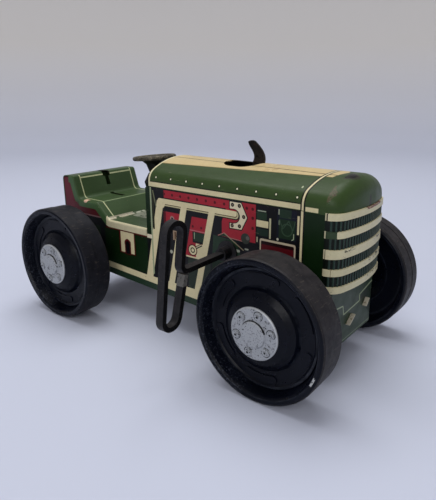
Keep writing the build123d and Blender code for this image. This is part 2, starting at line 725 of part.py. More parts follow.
def start_stop_lever():
    """A flat steel lever: a hooked thumb-piece above the hood and a brake foot below."""
    x, z = LEVER_AT
    front = [(x + 3.3, z + 12.5), (x + 3.2, z + 16.2), (x + 0.3, z + 20.4), (x - 2.3, z + 22.7)]
    back = [(x - 6.6, z + 22.5), (x - 6.2, z + 21.4), (x - 3.8, z + 18.0), (x - 3.6, z + 12.5)]
    edges = [
        Line((x + 2.6, z), front[0]),
        Spline(*front),
        ThreePointArc(front[-1], (x - 4.6, z + 23.3), back[0]),
        Spline(*back),
        Line(back[-1], (x - 2.6, z)),
        Line((x - 2.6, z), (x + 2.6, z)),
    ]
    star_side = on_circle(STAR_AT, STAR_R + 0.35, 8)
    foot = make_face(Polyline(
        (x, z + 2.2), (star_side[0], star_side[1] + 1.6), (star_side[0], star_side[1] - 1.0),
        (x, z - 2.2), close=True,
    ))
    outline = make_face(edges) + Pos(x, z) * Circle(3.2) + foot - Pos(x, z) * Circle(LEVER_PIN_R + FIT)
    return side_plate(outline, BRAKE_Y, BRAKE_Y + BRAKE_T)


def save_all():
    save("hood_and_sides", hood_and_sides())
    save("tail_plate", tail_plate())
    save("dash_plate", dash_plate())
    save("nose_grille", nose_grille())
    save("front_apron", front_apron())
    save("apron_bracket", apron_bracket())
    save("seat_and_footboard", seat_pressing())
    save("steering_wheel", steering_wheel())
    save("steering_pedestal", steering_pedestal())
    for x, end in ((FRONT_X, "front"), (REAR_X, "rear")):
        save(f"{end}_axle", rod(x, AXLE_Z, AXLE_R, -HUB_FACE, HUB_FACE))
        for side, hand in ((-1, "right"), (1, "left")):
            save(f"{end}_{hand}_wheel", wheel(x, side))
            save(f"{end}_{hand}_hub_cap", hub_cap(x, side))
    save("winding_key", winding_key())
    save("key_bush", key_bush())
    save("winding_arbor", winding_arbor())
    save("ratchet_wheel", ratchet_wheel())
    save("click", click())
    save("click_pin", click_pin())
    save("mainspring", mainspring())
    save("right_motor_plate", motor_plate(-1))
    save("left_motor_plate", motor_plate(1))
    save("motor_pillars", motor_pillars())
    save("great_wheel", great_wheel())
    save("idler_arbor", rod(*IDLER_AT, 1.5, -PLATE_OUT - 0.6, PLATE_OUT + 0.6))
    idler_y = (GEAR_Y - 0.5, GEAR_Y + GEAR_T + 0.5)
    save("idler_gear", gear(IDLER_AT, IDLER_TEETH, MODULE, *idler_y, 1.5, IDLER_PHASE))
    axle_y = (GEAR_Y - 1.5, GEAR_Y + GEAR_T + 1.5)
    save("axle_gear", gear(FRONT_AT, AXLE_TEETH, MODULE, *axle_y, AXLE_R, AXLE_PHASE))
    pinion_y = (GEAR_Y - 1.0, GEAR_Y + GEAR_T + 1.0)
    save("second_arbor", arbor_with_pinion(SECOND_AT, 1.2, *pinion_y, SECOND_PHASE, MODULE))
    save("second_wheel", gear(SECOND_AT, SECOND_TEETH, FINE_MODULE, SECOND_Y, SECOND_Y + 1, 1.2, 0))
    star_y = (SECOND_Y - 0.8, SECOND_Y + 1.8)
    save("star_arbor", arbor_with_pinion(STAR_AT, 1.0, *star_y, STAR_PHASE, FINE_MODULE))
    save("star_wheel", star_wheel())
    save("rocking_anchor", rocking_anchor())
    save("anchor_pin", stub_pin(ANCHOR_AT, 1.0))
    save("start_stop_lever", start_stop_lever())
    save("lever_pin", stub_pin(LEVER_AT, LEVER_PIN_R))


save_all()
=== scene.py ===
import math

import bmesh
import bpy
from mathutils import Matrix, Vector

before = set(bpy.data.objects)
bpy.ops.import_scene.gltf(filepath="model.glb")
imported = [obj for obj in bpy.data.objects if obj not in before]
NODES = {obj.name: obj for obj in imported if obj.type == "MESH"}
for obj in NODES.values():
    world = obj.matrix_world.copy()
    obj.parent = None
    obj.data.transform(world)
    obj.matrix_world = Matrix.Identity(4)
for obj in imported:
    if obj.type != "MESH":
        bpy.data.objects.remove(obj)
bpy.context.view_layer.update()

MM = 0.001

# Sizes repeated from the CAD model, in mm. +X is forward, +Y is the tractor's left, +Z is up.
AXLE_X = 70.5              # each axle, from the middle of the wheelbase
AXLE_Z = 32.0
WHEEL_R = 32.0
BODY_HALF = 24.4
BODY_MIDDLE_Z = 50.0
TAIL_X = -94.4
HOOD_REAR_X = -18.0
SHOULDER_Z = 79.2          # foot of the hood's painted moulding
GRILLE_TOP_Z = 79.0        # the grille's ribs end here
SKIRT_SLOPE = -0.05
SKIRT_TAIL_Z = 24.4
NOSE_BARS = [(79.4, 2.9), (71.8, 2.9), (63.9, 3.9), (55.3, 2.9), (47.5, 2.9)]  # top and height
NOSE_APEX = 94.4
NOSE_BOW_R = 78.3          # the nose's front, seen from above, is one bowed arc
NOSE_CORNER = (85.24, 17.4)  # the middle of each rounded corner
NOSE_CORNER_R = 7.0
NOSE_CORNER_Y = 19.1       # the bow ends and the corner starts here
NUT_CIRCLE_R = 8.8         # the six nuts pressed into a wheel cap
FIRST_NUT = math.radians(15)
NUT_STEP = math.radians(60)


def ink(r, g, b):
    """A colour as it looks on screen, 0 to 255, turned into Blender's linear colour."""
    def linear(c):
        c /= 255
        return c / 12.92 if c <= 0.04045 else ((c + 0.055) / 1.055) ** 2.4
    return (linear(r), linear(g), linear(b), 1.0)


GREEN = ink(51, 70, 34)
DEEP_GREEN = ink(12, 34, 10)
DARK_GREEN = ink(32, 52, 36)
CREAM = ink(214, 202, 160)
STRIPE_CREAM = ink(200, 179, 132)
PALE_LINE = ink(186, 190, 146)
RED = ink(156, 34, 46)
DARK_RED = ink(84, 12, 20)
TAIL_RED = ink(92, 14, 28)
BLACK = ink(10, 10, 14)
NAVY = ink(14, 16, 32)
BARE_TIN = ink(150, 142, 118)
BROWN = ink(86, 60, 34)
# painted shade for the faces inside the body
INSIDE_SHADE = ink(40, 38, 30)


# ------------------------------------------------------------------ building materials from nodes
class Paint:
    """A material being built: coordinates in mm, masks made of nodes, and layers of colour."""

    def __init__(self, name, base):
        self.material = bpy.data.materials.new(name)
        self.material.use_nodes = True
        self.tree = self.material.node_tree
        self.tree.nodes.clear()
        self.colour = base
        self.bare = None
        self.height = None
        self.coordinates = self.add("ShaderNodeTexCoord")
        self.place = self.vector("SCALE", self.coordinates.outputs["Object"], scale=1 / MM)
        self.x, self.y, self.z = self.split_vector(self.place)

    def add(self, kind, **settings):
        node = self.tree.nodes.new(kind)
        for key, value in settings.items():
            setattr(node, key, value)
        return node

    def feed(self, socket, value):
        if isinstance(value, bpy.types.NodeSocket):
            self.tree.links.new(value, socket)
        else:
            socket.default_value = value

    def number(self, operation, *values, clamp=False):
        node = self.add("ShaderNodeMath", operation=operation, use_clamp=clamp)
        for socket, value in zip(node.inputs, values):
            self.feed(socket, value)
        return node.outputs[0]

    def vector(self, operation, a, b=None, scale=None):
        node = self.add("ShaderNodeVectorMath", operation=operation)
        self.feed(node.inputs[0], a)
        if b is not None:
            self.feed(node.inputs[1], b)
        if scale is not None:
            self.feed(node.inputs["Scale"], scale)
        is_number = operation in ("DOT_PRODUCT", "DISTANCE", "LENGTH")
        return node.outputs["Value" if is_number else "Vector"]

    def split_vector(self, vector):
        split = self.add("ShaderNodeSeparateXYZ")
        self.feed(split.inputs[0], vector)
        return split.outputs

    # ---- fields
    def noise(self, size, detail=3.0, roughness=0.55, seed=0.0, stretch=(1, 1, 1)):
        """Smooth noise from 0 to 1 with features about size mm across."""
        scaled = self.vector("MULTIPLY", self.place, tuple(s / size for s in stretch))
        node = self.add("ShaderNodeTexNoise", noise_dimensions="4D")
        self.feed(node.inputs["Vector"], scaled)
        node.inputs["W"].default_value = seed
        node.inputs["Scale"].default_value = 1.0
        node.inputs["Detail"].default_value = detail
        node.inputs["Roughness"].default_value = roughness
        return node.outputs[0]

    def ramp(self, value, low, high, to_low=0.0, to_high=1.0):
        node = self.add("ShaderNodeMapRange")
        for socket, v in zip(node.inputs, (value, low, high, to_low, to_high)):
            self.feed(socket, v)
        return node.outputs[0]

    def vary(self, noise, low, high):
        """Noise, most of which lies from 0.3 to 0.7, stretched to run from low to high."""
        return self.ramp(noise, 0.3, 0.7, low, high)

    def above(self, value, limit):
        return self.number("GREATER_THAN", value, limit)

    def below(self, value, limit):
        return self.number("LESS_THAN", value, limit)

    def near(self, value, low, high):
        """1 where value lies between low and high."""
        return self.number("COMPARE", value, (low + high) / 2, (high - low) / 2)

    def both(self, *masks):
        """1 where all the masks are 1."""
        mask = masks[0]
        for other in masks[1:]:
            mask = self.number("MULTIPLY", mask, other)
        return mask

    def either(self, *masks):
        """1 where any of the masks is 1."""
        mask = masks[0]
        for other in masks[1:]:
            mask = self.number("MAXIMUM", mask, other)
        return mask

    def minus(self, mask, hole):
        return self.number("SUBTRACT", mask, hole, clamp=True)

    # ---- shapes on the current drawing plane
    def draw_on(self, u, v):
        """Choose the two coordinates that the shapes below are drawn in."""
        self.u, self.v = u, v
        node = self.add("ShaderNodeCombineXYZ")
        self.feed(node.inputs[0], u)
        self.feed(node.inputs[1], v)
        self.uv = node.outputs[0]

    def rect(self, u0, u1, v0, v1):
        return self.both(self.near(self.u, u0, u1), self.near(self.v, v0, v1))

    def disc(self, u, v, r):
        return self.below(self.vector("DISTANCE", self.uv, (u, v, 0)), r)

    def ring(self, u, v, r0, r1):
        return self.near(self.vector("DISTANCE", self.uv, (u, v, 0)), r0, r1)

    def stroke(self, u0, v0, u1, v1, width):
        """A straight line of this width from one point to the other."""
        length = math.hypot(u1 - u0, v1 - v0)
        along = ((u1 - u0) / length, (v1 - v0) / length, 0)
        across = (-along[1], along[0], 0)
        start = u0 * along[0] + v0 * along[1]
        offset = u0 * across[0] + v0 * across[1]
        return self.both(
            self.near(self.vector("DOT_PRODUCT", self.uv, along), start, start + length),
            self.near(self.vector("DOT_PRODUCT", self.uv, across), offset - width / 2, offset + width / 2),
        )

    def path(self, points, width):
        """Strokes through the points in turn."""
        return self.either(*(self.stroke(*a, *b, width) for a, b in zip(points, points[1:])))

    def polygon(self, *points):
        """A convex outline, its corners given anticlockwise."""
        mask = None
        for a, b in zip(points, points[1:] + points[:1]):
            normal = (b[1] - a[1], a[0] - b[0], 0)
            limit = a[0] * normal[0] + a[1] * normal[1]
            side = self.below(self.vector("DOT_PRODUCT", self.uv, normal), limit)
            mask = side if mask is None else self.both(mask, side)
        return mask

    def rounded(self, u0, u1, v0, v1, r):
        """A rectangle with round corners."""
        centre = ((u0 + u1) / 2, (v0 + v1) / 2, 0)
        half = ((u1 - u0) / 2 - r, (v1 - v0) / 2 - r, 0)
        spread = self.vector("ABSOLUTE", self.vector("SUBTRACT", self.uv, centre))
        corner = self.vector("MAXIMUM", self.vector("SUBTRACT", spread, half), (0, 0, 0))
        return self.below(self.vector("LENGTH", corner), r)

    def row(self, first, pitch, count, v, r0, r1):
        """A row of rings along u; r0 of 0 makes them discs."""
        steps = self.number("MULTIPLY", self.number("SUBTRACT", self.u, first), 1 / pitch)
        nearest = self.number("MINIMUM", self.number("MAXIMUM", self.number("ROUND", steps), 0), count - 1)
        away = self.number("MULTIPLY", self.number("SUBTRACT", steps, nearest), pitch)
        rise = self.number("SUBTRACT", self.v, v)
        square = self.number("MULTIPLY_ADD", away, away, self.number("MULTIPLY", rise, rise))
        return self.near(self.number("SQRT", square), r0, r1)

    # ---- layers
    def lay(self, mask, colour, amount=1.0):
        """Cover what the mask marks with a colour; an amount below 1 lets what is under it show."""
        if amount != 1.0:
            mask = self.number("MULTIPLY", mask, amount)
        node = self.add("ShaderNodeMix", data_type="RGBA")
        self.feed(node.inputs[0], mask)
        self.feed(node.inputs[6], self.colour)
        self.feed(node.inputs[7], colour)
        self.colour = node.outputs[2]

    def shade(self, factor):
        """Multiply the colour by a number that varies over the surface."""
        node = self.add("ShaderNodeMix", data_type="RGBA", blend_type="MULTIPLY")
        node.inputs[0].default_value = 1.0
        self.feed(node.inputs[6], self.colour)
        self.feed(node.inputs[7], factor)
        self.colour = node.outputs[2]

    def strip(self, mask, colour, amount):
        """Take the print off, down to metal of this colour."""
        self.lay(mask, colour, amount)
        self.bare = mask if self.bare is None else self.either(self.bare, mask)

    def raise_by(self, mask, height):
        """Add a bump: height, in mm, where the mask is 1."""
        bump = self.number("MULTIPLY", mask, height)
        self.height = bump if self.height is None else self.number("ADD", self.height, bump)

    def finish(self, roughness, metallic=0.0, specular=0.2):
        """Join the layers to the shader; where the print is off, the bare metal sets the metallic."""
        shader = self.add("ShaderNodeBsdfPrincipled")
        self.feed(shader.inputs["Base Color"], self.colour)
        self.feed(shader.inputs["Roughness"], roughness)
        if self.bare is not None:
            metallic = self.number("MULTIPLY", self.bare, 0.75)
        self.feed(shader.inputs["Metallic"], metallic)
        shader.inputs["Specular IOR Level"].default_value = specular
        if self.height is not None:
            bump = self.add("ShaderNodeBump")
            bump.inputs["Distance"].default_value = MM
            self.feed(bump.inputs["Height"], self.height)
            self.tree.links.new(bump.outputs[0], shader.inputs["Normal"])
        out = self.add("ShaderNodeOutputMaterial")
        self.tree.links.new(shader.outputs[0], out.inputs["Surface"])
        return self.material


def dress(names, material):
    """Give CAD nodes their material."""
    for name in names:
        NODES[name].data.materials.clear()
        NODES[name].data.materials.append(material)


# ------------------------------------------------------------------ printed tin
def inside_of(p):
    """1 on the faces that look towards the inside of the body."""
    outward = p.vector("MULTIPLY", p.vector("SUBTRACT", p.place, (0, 0, BODY_MIDDLE_Z)), (0, 1, 1))
    facing = p.vector("DOT_PRODUCT", p.coordinates.outputs["Normal"], outward)
    return p.below(facing, 0.0)


def tin_finish(p, seed=0.0, outside=None):
    """The ageing that all the printed tin shares, with painted shade on the faces that look inward;
    outside marks faces that are never the inside.
    """
    p.shade(p.vary(p.noise(26, seed=seed + 1), 0.88, 1.10))
    p.shade(p.vary(p.noise(1.6, 4, 0.7, seed=seed + 2), 0.93, 1.06))
    scratch = p.noise(0.5, 2, 0.6, seed + 3, stretch=(0.06, 1, 1))
    patchy = p.noise(9, 2, 0.5, seed + 4)
    lines = p.both(p.above(scratch, 0.70), p.above(patchy, 0.53))
    p.lay(lines, BARE_TIN, 0.35)
    chip = p.both(p.above(p.noise(1.3, 3, 0.65, seed + 5), 0.70), p.above(patchy, 0.48))
    p.strip(chip, ink(110, 96, 74), 0.8)
    # painted shade: faces that look into the body are painted dark
    hidden = inside_of(p)
    p.lay(hidden if outside is None else p.minus(hidden, outside), INSIDE_SHADE)
    p.raise_by(p.noise(14, 2, 0.5, seed + 6), 0.10)
    p.raise_by(p.noise(0.8, 2, 0.5, seed + 7), 0.012)
    roughness = p.vary(p.noise(6, 4, 0.6, seed + 8), 0.30, 0.48)
    return p.finish(roughness)


def column(p, top_left, bottom_left, width, top, bottom):
    """A slanted band of print, from its left edge's x at the top and at the bottom."""
    slope = (top_left - bottom_left) / (top - bottom)
    upright = p.number("MULTIPLY_ADD", p.v, -slope, p.u)
    left = top_left - slope * top
    return p.both(p.near(upright, left, left + width), p.near(p.v, bottom, top))


def skirt_height(p):
    """Height above the body's sloping lower edge."""
    edge = p.number("MULTIPLY_ADD", p.x, SKIRT_SLOPE, SKIRT_TAIL_Z + SKIRT_SLOPE * -TAIL_X)
    return p.number("SUBTRACT", p.z, edge)


def rear_windows(p):
    """The first two openings of the engine, with their gauges and valves."""
    p.lay(p.rect(-7.6, 4.2, 46, 67), DARK_RED)
    p.lay(p.rect(-6, 4.2, 60.5, 67), RED)
    p.lay(p.disc(-1.5, 63.7, 1.5), ink(150, 120, 112))
    p.lay(p.disc(-1.5, 63.7, 0.7), BLACK)
    p.lay(p.rect(-7.6, 6, 28, 60.3), BLACK)
    p.lay(p.rect(-1.2, 1.8, 52.4, 57.6), ink(150, 128, 104))
    p.lay(p.rect(-0.2, 0.9, 52.4, 57), BROWN)
    p.lay(p.disc(-2.8, 45.6, 1.0), ink(170, 170, 150))
    p.lay(column(p, 12.2, 7.4, 11, 67, 46), RED)
    p.lay(p.rect(9, 24, 28, 45.2), ink(34, 44, 34))
    p.lay(p.row(12.7, 5.6, 2, 62, 0, 0.7), DARK_RED)
    p.lay(p.rect(10.6, 22, 59.6, 60.2), ink(176, 96, 100))
    p.lay(p.rect(12.4, 21, 53.6, 59.4), BLACK)
    p.lay(p.rect(13.2, 21, 54.6, 59.2), DARK_GREEN)
    p.lay(p.rect(13.4, 13.9, 55.6, 59), ink(150, 160, 130))
    p.lay(p.rect(14.5, 20, 46, 53.4), CREAM)
    p.lay(p.stroke(13, 50.2, 18.4, 53.2, 1.5), BLACK)
    p.lay(p.stroke(13.4, 50.5, 18.2, 53.2, 0.6), ink(190, 176, 140))
    p.lay(p.disc(12.3, 49.4, 3.1), DARK_RED)
    p.lay(p.disc(12.3, 49.4, 2.5), CREAM)
    p.lay(p.ring(12.3, 49.4, 0.9, 1.5), BLACK)
    p.lay(p.rect(7.7, 18.6, 45.2, 46), CREAM)


def front_window(p):
    """The third opening: red above, dark green ground below, with a rod and a knob."""
    p.lay(p.polygon((28.6, 60.2), (51, 60.2), (51, 78.3), (31.4, 78.3), (31.4, 67.6)), RED)
    p.lay(p.polygon((25, 45), (46, 45), (40, 59), (26, 60)), DARK_GREEN)
    p.lay(p.polygon((29, 60.3), (36, 60.3), (32.8, 62.2)), DARK_GREEN)
    p.lay(p.path([(29, 60.2), (32.8, 62.1), (36, 60.2), (44, 59.8)], 0.4), ink(170, 110, 104))
    p.lay(p.stroke(33, 61.8, 44.4, 55.4, 0.5), ink(140, 128, 104))
    p.lay(p.disc(45.4, 61.4, 2.6), ink(52, 56, 50))
    p.lay(p.disc(46.6, 61.8, 1.0), ink(96, 92, 88))
    p.lay(p.rounded(38.4, 42.2, 53.9, 55.2, 0.6), ink(160, 164, 150))
    p.lay(p.rounded(45, 47.2, 55.9, 56.7, 0.4), ink(150, 154, 140))


def pipe_and_engine(p):
    """The pipe, the blocks ahead of the bolted plate and the dark panel by the nose."""
    p.lay(p.rect(51.6, 57, 71.9, 75.3), DARK_GREEN)
    p.lay(p.rect(51.6, 57.8, 64.4, 67.6), ink(26, 44, 34))
    p.lay(p.rect(52, 56.6, 75.6, 76.1), ink(150, 160, 140))
    p.lay(p.rect(51.4, 57.9, 68.4, 71.5), CREAM)
    p.lay(p.rect(57.9, 58.4, 63.8, 73.2), BLACK)
    p.lay(p.rect(58.4, 59.3, 63.8, 73.1), ink(190, 186, 150))
    p.lay(p.rect(62.4, 72.2, 64.6, 78.2), NAVY)
    p.lay(p.rect(63.6, 69.6, 74.3, 78.2), ink(30, 48, 34))
    p.lay(p.rect(63.4, 71.8, 65, 73.8), ink(24, 44, 26))
    zigzag = [(63.6, 73.6), (65.4, 69.4), (68.4, 73.4), (70.6, 69.4), (71.6, 73.6)]
    p.lay(p.path(zigzag, 0.35), ink(52, 74, 56))
    p.lay(p.ring(67.6, 69.2, 2.4, 2.9), ink(50, 72, 52))
    p.lay(p.rect(63.0, 63.6, 75.6, 78), ink(150, 156, 136))
    p.lay(p.rect(63.2, 63.8, 71, 73), ink(104, 116, 96))
    p.lay(p.disc(62.9, 64.3, 0.6), ink(190, 190, 170))
    p.lay(p.path([(71.0, 68.0), (71.0, 65.6), (70.0, 65.0)], 0.35), ink(170, 180, 150))
    p.lay(p.rect(72.6, 73.6, 68, 76.3), CREAM)


def red_box(p):
    """The red box with a cream outline, level with the top of the front wheel."""
    p.lay(p.rounded(53.4, 72.2, 50, 63.2, 1.0), ink(190, 176, 150))
    p.lay(p.rounded(54.1, 71.4, 49, 62.2, 0.6), ink(30, 6, 8))
    p.lay(p.rect(54.3, 71.2, 49, 60.6), DARK_RED)
    p.lay(p.rect(51.6, 52.3, 61, 63.5), ink(176, 170, 140))


def cream_frame(p):
    """The cream frame of the engine: shadow lines, then three posts and the band along their tops."""
    p.lay(p.rect(-7.6, 40, 70.2, 71.0), ink(92, 84, 56))
    p.lay(p.rounded(-8, 41.8, 69.4, 73.6, 1.9), BLACK)
    p.lay(p.rounded(-9, 41.3, 69.9, 73.6, 1.8), ink(190, 180, 140))
    p.lay(p.rounded(-9, 40.6, 70.5, 73.4, 1.4), ink(80, 72, 46))
    posts = ((-12.2, -23.1, 5.0), (5.2, -5.8, 4.1), (23.6, 12.6, 3.9))
    columns = [column(p, *post, 72.4, 26) for post in posts]
    p.lay(p.either(p.rounded(-11.6, 40.3, 70.9, 73.6, 1.3), p.disc(-9.0, 71.0, 2.6), *columns), CREAM)


def bolted_plate(p):
    """The plate at the frame's front end, with five bolts, and the rivets ahead of it."""
    plate = [(36.3, 65.2), (43.0, 65.3), (46.2, 71.4), (42.7, 77.9), (36.3, 77.9)]
    rim = [(35.8, 64.7), (43.3, 64.8), (46.8, 71.4), (43.0, 78.4), (35.8, 78.4)]
    rim_gap = p.either(p.disc(38.6, 71.2, 3.1), p.rect(30, 38.6, 67.9, 74.3))
    p.lay(p.minus(p.polygon(*rim), rim_gap), BLACK)
    plate_gap = p.either(p.disc(38.6, 71.2, 3.5), p.rect(30, 38.6, 67.5, 74.6))
    p.lay(p.minus(p.polygon(*plate), plate_gap), ink(220, 208, 176))
    for bolt in ((37.8, 76.5), (41.8, 76.5), (44.3, 71.6), (41.9, 66.8), (37.6, 66.5)):
        p.lay(p.disc(*bolt, 0.95), BLACK)
        p.lay(p.disc(*bolt, 0.45), ink(110, 98, 80))
    for rivet in ((46, 76), (49.3, 76), (49.4, 71.8), (49.4, 67)):
        p.lay(p.disc(*rivet, 0.75), DARK_RED)


def side_edges(p):
    """Pale lines by the dash and ahead of the engine, and the green pillar by the nose."""
    p.lay(p.rect(-15.8, -14.6, 56, 77), ink(40, 42, 24))
    p.lay(p.stroke(-15.2, 77.2, -13.0, 68.5, 0.8), ink(110, 112, 84))
    p.lay(p.rect(-17.4, -16.3, 30, 79), ink(150, 160, 126))
    p.lay(p.rect(76.0, 90, 10, 79), DEEP_GREEN)
    p.lay(p.rect(74.2, 75.3, 52, 79), CREAM)


def engine_side(p):
    """The print between the hood's moulding and the skirt, from the dash to the nose."""
    p.lay(p.rect(-17.6, 86, 10, 79), BLACK)
    # long red strip with dark rivets
    p.lay(p.rect(-7, 35.8, 74.2, 78.2), RED)
    p.lay(p.row(-6.7, 5.65, 8, 76.2, 0, 0.75), DARK_RED)
    rear_windows(p)
    front_window(p)
    pipe_and_engine(p)
    red_box(p)
    # behind the front wheel: a plain dark green panel
    p.lay(p.rounded(25, 73, 27, 47, 2.0), DEEP_GREEN)
    cream_frame(p)
    bolted_plate(p)
    side_edges(p)


def rear_side(p):
    """The print below the seat and footboard."""
    p.lay(p.rect(-96, -17.6, 10, 66), BLACK)
    p.lay(p.rect(-96, -85, 46, 78), TAIL_RED)
    p.lay(p.rect(-96, -93.2, 46, 78), ink(52, 8, 14))
    p.lay(p.rect(-85, -56, 56, 64.6), DARK_RED)
    p.lay(p.rect(-82, -58, 55.2, 56), ink(130, 96, 96))
    p.lay(p.rect(-92, -61, 30, 50.4), DEEP_GREEN)
    p.lay(p.rect(-57, -21, 29, 50.2), DEEP_GREEN)
    p.lay(p.rect(-56, -18, 50.2, 51), DARK_RED)
    # forked bracket with an arched slot
    p.lay(p.rect(-44.4, -31.2, 37.4, 50.4), DARK_RED)
    legs = (p.rect(-43.2, -40, 38, 46), p.rect(-34.9, -32, 38, 46))
    p.lay(p.either(p.rect(-43.2, -32, 45, 50.3), *legs), CREAM)
    p.lay(p.either(p.disc(-37.5, 43.6, 2.7), p.rect(-40, -34.9, 37, 43.6)), DARK_RED)
    p.lay(p.either(p.disc(-37.5, 43.4, 1.7), p.rect(-39.2, -35.8, 37.4, 43.4)), BLACK)


def dash_strip(p):
    """The strip that runs up the back edge of the hood."""
    p.lay(p.rect(-21, -17.5, 50, 79.5), DEEP_GREEN)
    p.lay(p.rect(-21, -17, 50.2, 52.4), ink(214, 204, 176))


def crown_stripe(p):
    """The tapering stripe along the crown, with its dark lines."""
    side = p.number("ABSOLUTE", p.y)
    taper = p.number("MULTIPLY_ADD", p.x, -0.0526, 13.6)
    blunt_end = p.number("MULTIPLY_ADD", p.x, -3.0, 251.0)
    past_edge = p.number("SUBTRACT", side, p.number("MINIMUM", taper, blunt_end))
    on_top = p.above(p.z, 84)
    stripe = p.both(p.below(past_edge, 0), p.near(p.x, -17.2, 84), on_top)
    border = p.both(p.below(past_edge, 0.5), p.near(p.x, -17.2, 84.4), on_top)
    p.lay(border, ink(120, 106, 66))
    p.lay(stripe, STRIPE_CREAM)
    groove = p.number("SUBTRACT", side, p.number("MULTIPLY_ADD", p.x, 0.022, 4.9))
    p.lay(p.both(stripe, p.near(groove, -0.34, 0.34)), ink(64, 50, 26))
    worn = p.both(stripe, p.near(p.x, 40, 52), p.above(p.noise(3.2, 4, 0.7, 31), 0.55))
    p.lay(worn, ink(150, 112, 66), 0.3)


def hood_ends(p):
    """The pale ring round the front of the hood, and the rolled rear edge."""
    ring_x = p.number("MULTIPLY_ADD", p.number("ABSOLUTE", p.y), 0.107, p.x)
    p.lay(p.both(p.near(ring_x, 76.3, 78.6), p.above(p.z, GRILLE_TOP_Z)), ink(12, 16, 6))
    p.lay(p.both(p.near(ring_x, 77.0, 77.9), p.above(p.z, GRILLE_TOP_Z)), CREAM)
    rolled_edge = p.near(p.x, HOOD_REAR_X - 0.1, HOOD_REAR_X + 1.1)
    p.lay(p.both(rolled_edge, p.above(p.z, SHOULDER_Z)), ink(214, 206, 168))


def hood_material():
    """The hood and both sides, printed alike on the right and on the left."""
    p = Paint("printed_hood", GREEN)
    p.draw_on(p.x, p.z)
    rear_side(p)
    engine_side(p)
    dash_strip(p)
    above = skirt_height(p)
    hem = 3.75
    p.lay(p.both(p.near(above, 0, hem), p.below(p.z, 40)), DARK_GREEN)
    top_edge = p.number("MAXIMUM", p.number("MULTIPLY_ADD", p.x, SKIRT_SLOPE, 27.0), 28.2)
    band = p.both(p.above(above, hem), p.below(p.z, top_edge), p.near(p.x, -92, 84))
    p.lay(band, CREAM)
    # green hood over everything above the moulding
    p.lay(p.above(p.z, 78.7), BLACK)
    p.lay(p.either(p.above(p.z, 78.9), p.both(p.above(p.x, 76.2), p.above(p.z, 78.6))), GREEN)
    p.lay(p.rect(HOOD_REAR_X, 75.5, SHOULDER_Z, 82.1), ink(24, 32, 14))
    p.lay(p.rect(HOOD_REAR_X, 75.5, SHOULDER_Z, 81.6), CREAM)
    p.lay(p.rect(76.2, 82.2, 78.9, 80.8), CREAM)
    rivets = (-12.7, 10.56, 9, 84.2)  # first, pitch, count and height
    p.lay(p.row(*rivets, 0, 0.85), ink(34, 44, 28))
    p.lay(p.row(*rivets, 0, 0.42), ink(226, 224, 190))
    p.lay(p.disc(72, 88.1, 0.35), ink(180, 186, 150))
    crown_stripe(p)
    hood_ends(p)
    return tin_finish(p)


def nose_proud(p):
    """How far a point of the nose stands out of the grille's plain surface, in mm."""
    seen_from_above = p.vector("MULTIPLY", p.place, (1, 1, 0))
    mirrored = p.vector("ABSOLUTE", seen_from_above)
    from_bow = p.vector("DISTANCE", seen_from_above, (NOSE_APEX - NOSE_BOW_R, 0, 0))
    from_corner = p.vector("DISTANCE", mirrored, (*NOSE_CORNER, 0))
    bow = p.number("SUBTRACT", from_bow, NOSE_BOW_R)
    corner = p.number("SUBTRACT", from_corner, NOSE_CORNER_R)
    in_corner = p.above(p.number("ABSOLUTE", p.y), NOSE_CORNER_Y)
    return p.number("MULTIPLY_ADD", in_corner, p.number("SUBTRACT", corner, bow), bow)


def right_end(p):
    """1 on the right shoulder and on the right ends of the bars."""
    return p.below(p.y, -18)


def bar_damage(p, bands, bars):
    """Green over the second bar's right end, painted shadow lines where the bars' raised right ends start,
    and chips along the bars' top edges.
    """
    at_right = right_end(p)
    p.lay(p.both(bands[1], at_right, p.near(p.x, 86.4, 90.6)), ink(50, 66, 44))
    # painted shadow: a black line where each bar's raised right end starts
    for band, x, width in ((0, 86.4, 0.5), (1, 86.2, 0.3), (2, 86.4, 0.25), (4, 86.4, 0.4)):
        p.lay(p.both(bands[band], at_right, p.near(p.x, x, x + width)), BLACK)
    p.lay(p.both(bands[3], at_right, p.near(p.x, 89.0, 89.15)), BROWN)
    grit = p.noise(1.5, 4, 0.75, 12, stretch=(1, 0.45, 1.6))
    edge = p.either(*(p.near(p.z, top - 1.3, top) for top, _ in NOSE_BARS[2:]))
    cracked = p.both(bars, edge, p.near(p.y, -19.5, -12), p.near(p.z, 62, 65))
    p.lay(p.both(cracked, p.above(grit, 0.52)), ink(40, 34, 26))
    p.lay(p.both(bars, edge, p.above(p.y, 1), p.above(grit, 0.55)), ink(40, 36, 26))
    p.lay(p.both(bars, p.above(grit, 0.66)), ink(70, 58, 42))
    red_wear = p.both(bands[0], p.near(p.y, -4, 13), p.above(p.z, 78.5), p.above(grit, 0.45))
    p.lay(red_wear, ink(116, 70, 54))


def shoulder_rust(p, specks):
    """Rust, scuffs and a gouge on the right shoulder."""
    middle = p.vector("DISTANCE", p.place, (82.8, -19, 86.2))
    patchy = p.number("MULTIPLY_ADD", p.noise(4, 3, 0.6, 13), 7.0, middle)
    rust = p.both(p.below(patchy, 9.2), p.above(specks, 0.46))
    p.lay(rust, ink(104, 84, 70), 0.5)
    p.lay(p.both(rust, p.above(specks, 0.58)), ink(34, 30, 24), 0.7)
    scuffed = p.both(p.near(patchy, 6.0, 10.0), p.near(p.z, 80, 84.5), p.below(specks, 0.46))
    p.lay(scuffed, ink(116, 126, 116), 0.5)
    gouge = p.both(p.near(p.x, 82.6, 83.6), p.near(p.z, 79.5, 85), right_end(p), p.above(specks, 0.42))
    p.lay(gouge, ink(26, 26, 20), 0.8)


def torn_dent(p, specks):
    """A torn black dent on the crown."""
    away = p.vector("DISTANCE", p.place, (86.4, -5.5, 92.4))
    dent = p.below(p.number("MULTIPLY_ADD", specks, 4.0, away), 5.2)
    p.lay(p.below(p.number("MULTIPLY_ADD", specks, 6.0, away), 7.2), ink(50, 50, 38))
    p.lay(dent, ink(4, 3, 3))
    p.raise_by(dent, -1.2)


